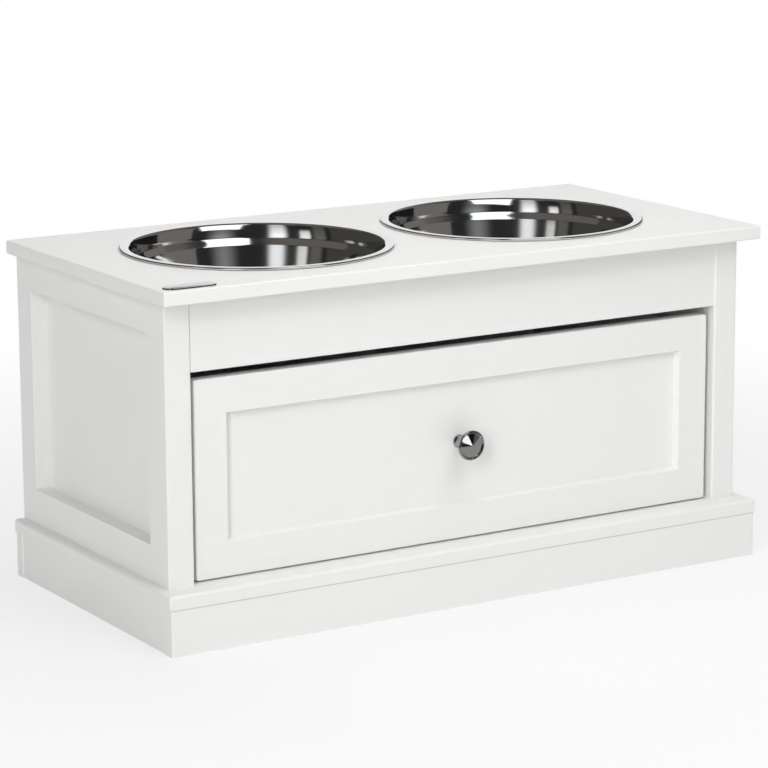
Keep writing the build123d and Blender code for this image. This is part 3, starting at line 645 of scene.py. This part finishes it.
CAMERA_PLACE = Vector((-1.42689, -2.33847, 0.76395))
CAMERA_BEARING = -0.54664
CAMERA_DIP = 0.21451
CAMERA_ROLL = -0.00521
CAMERA_LENS = 147.0
SENSOR_WIDTH = 36.0
TOWARDS_CAMERA = atan2(-CAMERA_PLACE.x, -CAMERA_PLACE.y)   # bearing from the object, from -Y towards -X

FLOOR_RADIUS = 12.0
# The floor shows the object's shadow up to the first distance from its middle, and none past the second.
SHADOW_NEAR, SHADOW_FAR = 0.45, 1.1

# Distance and heights of the upright flats that stand round the object.
WALL_RADIUS, WALL_TOP, LOW_WALL_TOP = 4.6, 3.6, 1.9
DEGREES_PER_FACET = 4
NO_FADE = (90.0, 91.0)           # heights far above every flat

CHARCOAL = (0.027, 0.028, 0.030)
BLACK = (0.014, 0.014, 0.015)
ROOM = (0.205, 0.190, 0.178)
DARK_ROOM = (0.068, 0.064, 0.060)


def make_camera():
    camera = bpy.data.objects.new("camera", bpy.data.cameras.new("camera"))
    bpy.context.scene.collection.objects.link(camera)
    camera.data.lens = CAMERA_LENS
    camera.data.sensor_width = SENSOR_WIDTH
    camera.data.sensor_fit = "HORIZONTAL"
    camera.data.clip_start = 0.05
    camera.data.clip_end = 100.0
    camera.matrix_world = (
        Matrix.Translation(CAMERA_PLACE)
        @ Matrix.Rotation(CAMERA_BEARING, 4, "Z")
        @ Matrix.Rotation(pi / 2 - CAMERA_DIP, 4, "X")
        @ Matrix.Rotation(CAMERA_ROLL, 4, "Z")
    )
    bpy.context.scene.camera = camera


def seen_directly(tree):
    """1 where a camera, mirror or glass ray looks, 0 for the light that falls on things."""
    path = tree.nodes.new("ShaderNodeLightPath")
    total = path.outputs["Is Camera Ray"]
    for name in ("Is Glossy Ray", "Is Transmission Ray"):
        total = calculate(tree, "MAXIMUM", total, path.outputs[name])
    return total


def make_world(studio):
    """A white surround where it is seen, and a plain even light where it falls."""
    world = bpy.data.worlds.new("white surround")
    world.use_nodes = True
    tree = world.node_tree
    tree.nodes.clear()
    output = tree.nodes.new("ShaderNodeOutputWorld")
    light = tree.nodes.new("ShaderNodeBackground")
    light.inputs["Strength"].default_value = studio.ambient
    white = tree.nodes.new("ShaderNodeBackground")
    white.inputs["Strength"].default_value = 1.0
    for background in (light, white):
        background.inputs["Color"].default_value = (1, 1, 1, 1)
    mix = tree.nodes.new("ShaderNodeMixShader")
    tree.links.new(seen_directly(tree), mix.inputs["Fac"])
    tree.links.new(light.outputs["Background"], mix.inputs[1])
    tree.links.new(white.outputs["Background"], mix.inputs[2])
    tree.links.new(mix.outputs["Shader"], output.inputs["Surface"])
    bpy.context.scene.world = world


def floor_paper(studio):
    """Pale paper: plain where it lights the object, lifted to white with a soft shadow where it is seen."""
    material, tree, shader = begin_material("pale floor paper")
    shader.inputs["Roughness"].default_value = 0.9
    shader.inputs["Specular IOR Level"].default_value = 0.0
    tone = (studio.floor_tone,) * 3
    vector = place_pattern(tree)
    fibre = add_noise(tree, vector, scale=60.0, detail=3.0)
    colour_surface(tree, shader, fibre, shade(tone, factor=0.99), tone)
    white = tree.nodes.new("ShaderNodeEmission")
    white.inputs["Strength"].default_value = 1.0
    from_object = tree.nodes.new("ShaderNodeVectorMath")
    from_object.operation = "LENGTH"
    tree.links.new(vector, from_object.inputs[0])
    whiteness = spread_range(
        tree, from_object.outputs["Value"], low=1.0 - studio.shadow_share, high=1.0,
        from_low=SHADOW_NEAR, from_high=SHADOW_FAR,
    )
    share = calculate(tree, "MULTIPLY", whiteness, seen_directly(tree))
    mix = tree.nodes.new("ShaderNodeMixShader")
    tree.links.new(share, mix.inputs["Fac"])
    tree.links.new(shader.outputs["BSDF"], mix.inputs[1])
    tree.links.new(white.outputs["Emission"], mix.inputs[2])
    output = next(node for node in tree.nodes if node.type == "OUTPUT_MATERIAL")
    tree.links.new(mix.outputs["Shader"], output.inputs["Surface"])
    return material


def make_floor(studio):
    shape = bmesh.new()
    bmesh.ops.create_circle(shape, cap_ends=True, segments=64, radius=FLOOR_RADIUS)
    floor = add_object("floor", shape, floor_paper(studio))


def begin_glow(name):
    """Makes a material that only glows and returns it with its tree and its emission."""
    material = bpy.data.materials.new(name)
    material.use_nodes = True
    tree = material.node_tree
    tree.nodes.clear()
    output = tree.nodes.new("ShaderNodeOutputMaterial")
    emission = tree.nodes.new("ShaderNodeEmission")
    tree.links.new(emission.outputs["Emission"], output.inputs["Surface"])
    return material, tree, emission


def glow(name, colour):
    """A flat of one brightness, for the metal to mirror."""
    material, _, emission = begin_glow(name)
    emission.inputs["Color"].default_value = (*colour, 1.0)
    return material


def strip_glow(name, colour, bearing, half_width, edge, heights, levels, fade=NO_FADE, ground=CHARCOAL):
    """A strip light's glow on a dark flat: soft at its sides, changing with height, fading at its top."""
    material, tree, emission = begin_glow(name)
    parts = tree.nodes.new("ShaderNodeSeparateXYZ")
    tree.links.new(place_pattern(tree), parts.inputs["Vector"])
    leftwards = calculate(tree, "MULTIPLY", parts.outputs["X"], -1.0)
    forwards = calculate(tree, "MULTIPLY", parts.outputs["Y"], -1.0)
    around = calculate(tree, "ARCTAN2", leftwards, forwards)
    middle = TOWARDS_CAMERA + radians(bearing)
    off_middle = calculate(tree, "ABSOLUTE", calculate(tree, "SUBTRACT", around, middle))
    across = spread_range(
        tree, off_middle, low=1.0, high=0.0,
        from_low=radians(half_width - edge), from_high=radians(half_width + edge),
    )
    across.node.interpolation_type = "SMOOTHSTEP"
    upwards = spread_range(tree, parts.outputs["Z"], *levels, *heights)
    ending = spread_range(tree, parts.outputs["Z"], 1.0, 0.0, *fade)
    level = calculate(tree, "MULTIPLY", calculate(tree, "MULTIPLY", across, upwards), ending)
    tree.links.new(blend_colours(tree, level, ground, colour, clamped=False), emission.inputs["Color"])
    return material


def mirrored_only(stage_piece):
    """Leaves a stage piece visible in the metal alone."""
    stage_piece.visible_camera = False
    stage_piece.visible_diffuse = False
    stage_piece.visible_shadow = False
    stage_piece.visible_transmission = False
    stage_piece.visible_volume_scatter = False


def curved_flat(name, radius, bearings, heights, material):
    """An upright curved flat from a left to a right bearing, in degrees to the left of the camera."""
    left, right = bearings
    start = TOWARDS_CAMERA + radians(right)
    shape = bmesh.new()
    ends = [shape.verts.new((-radius * sin(start), -radius * cos(start), height)) for height in heights]
    edge = shape.edges.new(ends)
    bmesh.ops.spin(
        shape, geom=[*ends, edge], cent=(0, 0, 0), axis=(0, 0, -1), angle=radians(left - right),
        steps=max(2, int(abs(left - right) / DEGREES_PER_FACET)),
    )
    mirrored_only(add_object(name, shape, material))


def soft_strip(name, radius, bearing, half_width, edge, high, colour, heights, levels, fade=NO_FADE):
    """An upright strip light on a curved flat from the floor to a height.

    Its level goes from the first to the second of levels between the two heights."""
    reach = half_width + edge
    material = strip_glow(name, colour, bearing, half_width, edge, heights, levels, fade)
    curved_flat(name, radius, (bearing + reach, bearing - reach), (0.0, high), material)


def flat_panel(name, centre, width, depth, height, material):
    """A level panel over or under the object; its width runs across the camera's view."""
    shape = bmesh.new()
    bmesh.ops.create_grid(shape, x_segments=1, y_segments=1, size=0.5)
    bmesh.ops.scale(shape, verts=list(shape.verts), vec=(width, depth, 1))
    place = Matrix.Rotation(CAMERA_BEARING, 4, "Z") @ Matrix.Translation((*centre, height))
    bmesh.ops.transform(shape, matrix=place, verts=list(shape.verts))
    mirrored_only(add_object(name, shape, material))


def make_softbox(y, low, high, wide, narrow, cut, material):
    """An upright softbox parallel to the object's front, narrower along the cut at its lower edge."""
    left, right = wide
    plan = [
        (narrow[0], low), (narrow[1], low),
        (right, low + cut), (right, high), (left, high), (left, low + cut),
    ]
    shape = bmesh.new()
    outline = [shape.verts.new((x, y, z)) for x, z in plan]
    edges = [shape.edges.new(pair) for pair in zip(outline, outline[1:] + outline[:1])]
    bmesh.ops.contextual_create(shape, geom=edges)
    mirrored_only(add_object("softbox", shape, material))


def make_walls():
    """Room-coloured and dark flats all round and overhead."""
    room = glow("warm grey room", ROOM)
    full_height = (0.0, WALL_TOP)
    for name, bearings, heights, material in (
        ("flat_front", (72, -66), full_height, glow("charcoal flat", CHARCOAL)),
        ("flat_right", (-66, -109), full_height, room),
        ("flat_behind_right", (-109, -168), (0.0, LOW_WALL_TOP), glow("black flat", BLACK)),
        ("flat_behind_high", (-109, -194), (LOW_WALL_TOP, WALL_TOP), room),
        ("flat_left", (166, 72), full_height, glow("dark warm room", DARK_ROOM)),
    ):
        curved_flat(name, WALL_RADIUS, bearings, heights, material)
    ceiling = strip_glow(
        "ceiling", CHARCOAL, bearing=-38, half_width=52, edge=14, heights=(3.0, 4.0), levels=(1.0, 1.0),
        ground=shade(ROOM, factor=0.72),
    )
    flat_panel("flat_overhead", (0.0, 0.0), width=9.4, depth=9.4, height=WALL_TOP, material=ceiling)


def make_strips():
    """The softbox and the upright strips that the bowls mirror."""
    soft_strip(
        "flat_grey_left", radius=4.4, bearing=60, half_width=6, edge=2, high=3.4,
        colour=(0.17, 0.16, 0.15), heights=(0.6, 3.4), levels=(1.0, 0.4),
    )
    soft_strip(
        "dim_glow", radius=4.5, bearing=-35, half_width=9, edge=9, high=3.4,
        colour=(0.26, 0.27, 0.275), heights=(0.7, 2.0), levels=(1.6, 0.8),
    )
    soft_strip(
        "strip_near", radius=3.6, bearing=19, half_width=7.5, edge=3.5, high=3.5,
        colour=(1.0, 1.01, 1.03), heights=(0.9, 2.5), levels=(1.5, 0.75),
    )
    soft_strip(
        "strip_far", radius=3.0, bearing=45.5, half_width=5, edge=0.8, high=3.0,
        colour=(0.95, 0.94, 0.91), heights=(0.7, 1.3), levels=(1.3, 0.95), fade=(1.25, 1.6),
    )
    make_softbox(
        y=-0.6, low=0.63, high=1.9, wide=(-0.31, 0.47), narrow=(-0.25, 0.21), cut=0.75,
        material=glow("softbox", (1.9, 1.9, 1.9)),
    )


def make_low_flats():
    """The table, the dark floor and the low flats that the knob and the plate mirror."""
    table = glow("grey table", (0.60, 0.592, 0.575))
    flat_panel("grey_table", (0.0, -0.325), width=9.0, depth=0.45, height=0.0015, material=table)
    dark = glow("charcoal floor", CHARCOAL)
    flat_panel("dark_floor", (0.0, -2.55), width=8.0, depth=4.1, height=0.001, material=dark)
    curved_flat(
        "low_glow", radius=1.85, bearings=(-40, -52.8), heights=(0.0, 0.36),
        material=glow("low glow", (2.5, 2.5, 2.5)),
    )
    curved_flat(
        "low_black_flat", radius=4.4, bearings=(-52, -70), heights=(0.0, 0.8),
        material=glow("low black flat", BLACK),
    )


def add_lamp(name, place, target, size, power):
    """A soft lamp that lights the object but isn't mirrored; size is its width and height."""
    data = bpy.data.lights.new(name, "AREA")
    data.shape = "RECTANGLE"
    data.size, data.size_y = size
    data.energy = power
    lamp = bpy.data.objects.new(name, data)
    bpy.context.scene.collection.objects.link(lamp)
    aim = (Vector(target) - Vector(place)).to_track_quat("-Z", "Y")
    lamp.matrix_world = Matrix.Translation(place) @ aim.to_matrix().to_4x4()
    lamp.visible_glossy = False
    lamp.visible_camera = False


def make_lamps(studio):
    low_middle = (0, 0, 0.15)
    add_lamp(
        "front lamp", place=(-0.75, -2.8, 0.9), target=low_middle, size=(1.4, 1.2),
        power=studio.front_power,
    )
    add_lamp(
        "softbox lamp", place=(0.08, -0.62, 1.3), target=(0.08, 0.0, 0.6), size=(0.7, 1.2),
        power=studio.softbox_power,
    )
    add_lamp(
        "strip lamp", place=(-2.77, -2.3, 1.5), target=low_middle, size=(0.9, 2.5),
        power=studio.strip_power,
    )
    add_lamp(
        "overhead lamp", place=(0.65, 0.65, 2.6), target=(0.1, 0.0, 0.15), size=(2.0, 2.0),
        power=studio.overhead_power,
    )


# ------------------------------------------------------------------ operators

class FEEDER_OT_paint_boards(Operator):
    """Paints the cabinet's and the drawer's boards"""

    bl_idname = "feeder.paint_boards"
    bl_label = "Paint boards"

    def execute(self, context):
        dress_nodes("painted_mdf", satin_paint(context.scene.feeder_finishes))
        # Also paints shadow lines into the joints of the front rail and the plinth's skirts.
        paint_joint_shadows(context.scene.feeder_finishes)
        return {"FINISHED"}


class FEEDER_OT_bare_blocks(Operator):
    """Finishes the glue blocks in bare softwood"""

    bl_idname = "feeder.bare_blocks"
    bl_label = "Bare glue blocks"

    def execute(self, context):
        dress_nodes("bare_wood", bare_softwood(context.scene.feeder_finishes))
        return {"FINISHED"}


class FEEDER_OT_coat_runners(Operator):
    """Coats the drawer's runners and finishes their rollers"""

    bl_idname = "feeder.coat_runners"
    bl_label = "Runners and rollers"

    def execute(self, context):
        finishes = context.scene.feeder_finishes
        dress_nodes("coated_steel", epoxy_coat(finishes))
        dress_nodes("nylon", moulded_nylon(finishes))
        return {"FINISHED"}


class FEEDER_OT_plate_screws(Operator):
    """Plates the screws and the roller pins"""

    bl_idname = "feeder.plate_screws"
    bl_label = "Screws and pins"

    def execute(self, context):
        dress_nodes("zinc_steel", zinc_plate(context.scene.feeder_finishes))
        return {"FINISHED"}


class FEEDER_OT_spin_bowls(Operator):
    """Spins the two steel bowls"""

    bl_idname = "feeder.spin_bowls"
    bl_label = "Spun bowls"

    def execute(self, context):
        for side in ("left", "right"):
            make_bowl(side, context.scene.feeder_sizes, context.scene.feeder_finishes)
        return {"FINISHED"}


class FEEDER_OT_turn_knob(Operator):
    """Turns the drawer's knob"""

    bl_idname = "feeder.turn_knob"
    bl_label = "Turned knob"

    def execute(self, context):
        make_knob(context.scene.feeder_sizes, context.scene.feeder_finishes)
        return {"FINISHED"}


class FEEDER_OT_blank_plate(Operator):
    """Sets the blank metal plate on the top"""

    bl_idname = "feeder.blank_plate"
    bl_label = "Blank plate"

    def execute(self, context):
        make_plate(context.scene.feeder_sizes, context.scene.feeder_finishes)
        return {"FINISHED"}


class FEEDER_OT_studio(Operator):
    """Builds the camera, the floor, the lamps and the flats"""

    bl_idname = "feeder.studio"
    bl_label = "Studio"

    def execute(self, context):
        studio = context.scene.feeder_studio
        context.scene.view_settings.view_transform = "Standard"
        make_camera()
        make_world(studio)
        make_floor(studio)
        make_walls()
        make_strips()
        make_low_flats()
        make_lamps(studio)
        return {"FINISHED"}


OPERATORS = (
    FEEDER_OT_studio,
    FEEDER_OT_paint_boards,
    FEEDER_OT_bare_blocks,
    FEEDER_OT_coat_runners,
    FEEDER_OT_plate_screws,
    FEEDER_OT_spin_bowls,
    FEEDER_OT_turn_knob,
    FEEDER_OT_blank_plate,
)
GROUPS = {"feeder_sizes": FeederSizes, "feeder_finishes": FeederFinishes, "feeder_studio": FeederStudio}


class FEEDER_PT_panel(Panel):
    """Lists the settings and the steps of the feeder"""

    bl_label = "Raised feeder"
    bl_space_type = "VIEW_3D"
    bl_region_type = "UI"
    bl_category = "Feeder"

    def draw(self, context):
        for group in GROUPS:
            settings = getattr(context.scene, group)
            box = self.layout.box()
            for name in settings.__annotations__:
                box.prop(settings, name)
        for operator in OPERATORS:
            self.layout.operator(operator.bl_idname)


CLASSES = (*GROUPS.values(), *OPERATORS, FEEDER_PT_panel)


def register():
    for item in CLASSES:
        bpy.utils.register_class(item)
    for name, group in GROUPS.items():
        setattr(bpy.types.Scene, name, PointerProperty(type=group))


def unregister():
    for name in GROUPS:
        delattr(bpy.types.Scene, name)
    for item in reversed(CLASSES):
        bpy.utils.unregister_class(item)


def main():
    register()
    for operator in OPERATORS:
        group, name = operator.bl_idname.split(".")
        getattr(getattr(bpy.ops, group), name)()


if __name__ == "__main__":
    main()
